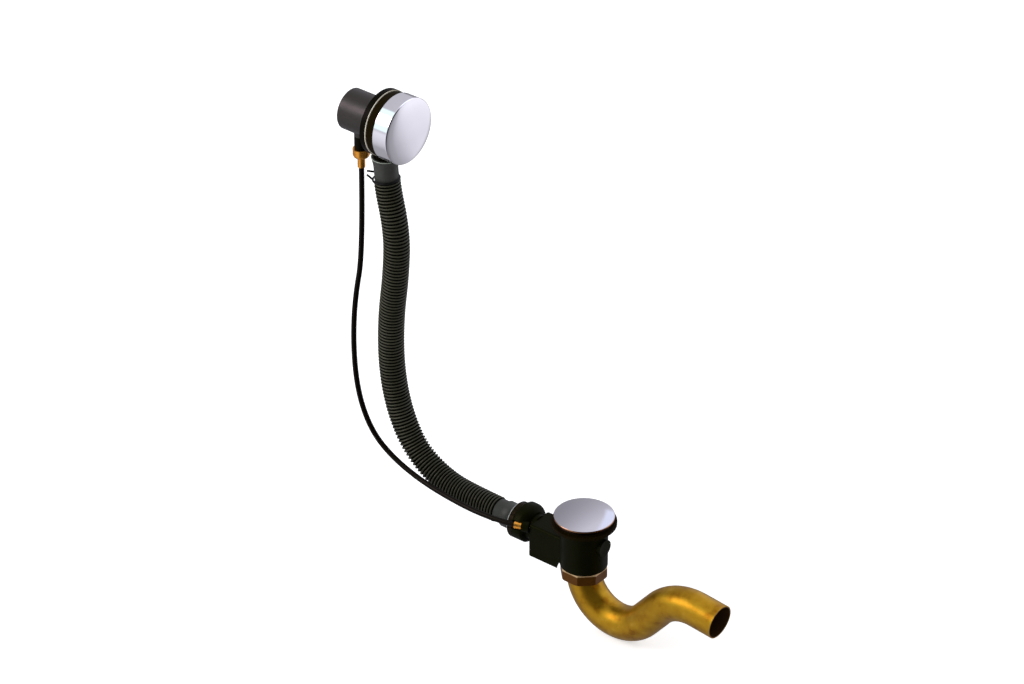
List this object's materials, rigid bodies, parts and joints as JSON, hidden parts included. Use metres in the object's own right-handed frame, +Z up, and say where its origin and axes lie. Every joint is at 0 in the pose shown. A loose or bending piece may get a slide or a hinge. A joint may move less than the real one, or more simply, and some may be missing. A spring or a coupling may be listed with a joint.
{
  "type": "bath waste and overflow",
  "caption": "Cable-operated pop-up bath waste: a turning knob on the overflow, a ribbed hose and a control cable, a waste with a lifting plug, and a swan-neck trap pipe.",
  "frame": {"origin": "on the waste's axis, at the level where the bath floor is clamped between the upper and lower waste gaskets", "axes": "+Z up along the plug's stem, +X from the overflow towards the waste, which is the way the knob faces"},
  "size_m": [0.5015, 0.0744, 0.5552],
  "materials": {
    "chrome": "polished chrome plate",
    "black_plastic": "black moulded plastic with a soft sheen",
    "stainless": "plain stainless steel",
    "black_rubber": "black rubber",
    "grey_rubber": "pale grey rubber",
    "pale_plastic": "cream plastic",
    "brass": "satin brass",
    "cable_sheath": "black smooth plastic",
    "hose_grey": "dark grey ribbed plastic",
    "black_wire": "black plastic-coated wire"
  },
  "bodies": {
    "base": {"overflow_housing": "black_plastic", "rear_cap": "black_plastic", "spindle_o_ring": "black_rubber", "seal_retainer": "stainless", "overflow_gasket": "black_rubber", "slip_washer": "pale_plastic", "faceplate": "stainless", "faceplate_screws": "stainless", "spindle_bush": "pale_plastic", "cable_gland_nut": "brass", "upper_ferrule": "brass", "upper_wire": "stainless", "control_cable": "cable_sheath", "lower_ferrule": "brass", "overflow_hose": "hose_grey", "hose_tie": "black_wire", "union_nut": "black_plastic", "inlet_seal": "grey_rubber", "waste_body": "black_plastic", "box_cover": "black_plastic", "box_cover_screws": "stainless", "lower_gasket": "black_rubber", "upper_gasket": "black_rubber", "waste_flange": "chrome", "lever_pin": "stainless", "coupling_nut": "brass", "coupling_washer": "black_rubber", "trap_pipe": "brass"},
    "knob": {"control_knob": "chrome", "knob_insert": "black_plastic", "spindle": "stainless", "cable_drum": "black_plastic", "drum_grub_screw": "stainless", "drum_wire_turn": "stainless", "spindle_clip": "stainless"},
    "wire": {"pull_wire": "stainless", "wire_bar": "brass"},
    "lever": {"lift_lever": "stainless"},
    "plug": {"plug_cap": "chrome", "plug_seal": "black_rubber", "plug_stem": "brass", "stem_lock_nut": "brass"}
  },
  "joints": [
    {"name": "knob_turn", "type": "hinge", "parent": "base", "child": "knob", "pos_m": [-0.238, 0, 0.39], "axis": [-1, 0, 0], "range_deg": [0, 73.07]},
    {"name": "wire_pull", "type": "slide", "parent": "base", "child": "wire", "axis": [-0.9336, -0.3584, 0], "range_m": [0, 0.00765]},
    {"name": "lever_rock", "type": "hinge", "parent": "base", "child": "lever", "pos_m": [-0.025, 0, -0.046], "axis": [0, -1, 0], "range_deg": [0, 23.07]},
    {"name": "plug_lift", "type": "slide", "parent": "base", "child": "plug", "axis": [0, 0, 1], "range_m": [0, 0.01]}
  ],
  "couplings": [
    {"joint": "wire_pull", "follows": "knob_turn", "m_per_rad": 0.006},
    {"joint": "lever_rock", "follows": "knob_turn", "ratio": 0.31578},
    {"joint": "plug_lift", "follows": "knob_turn", "m_per_rad": 0.0078412}
  ]
}
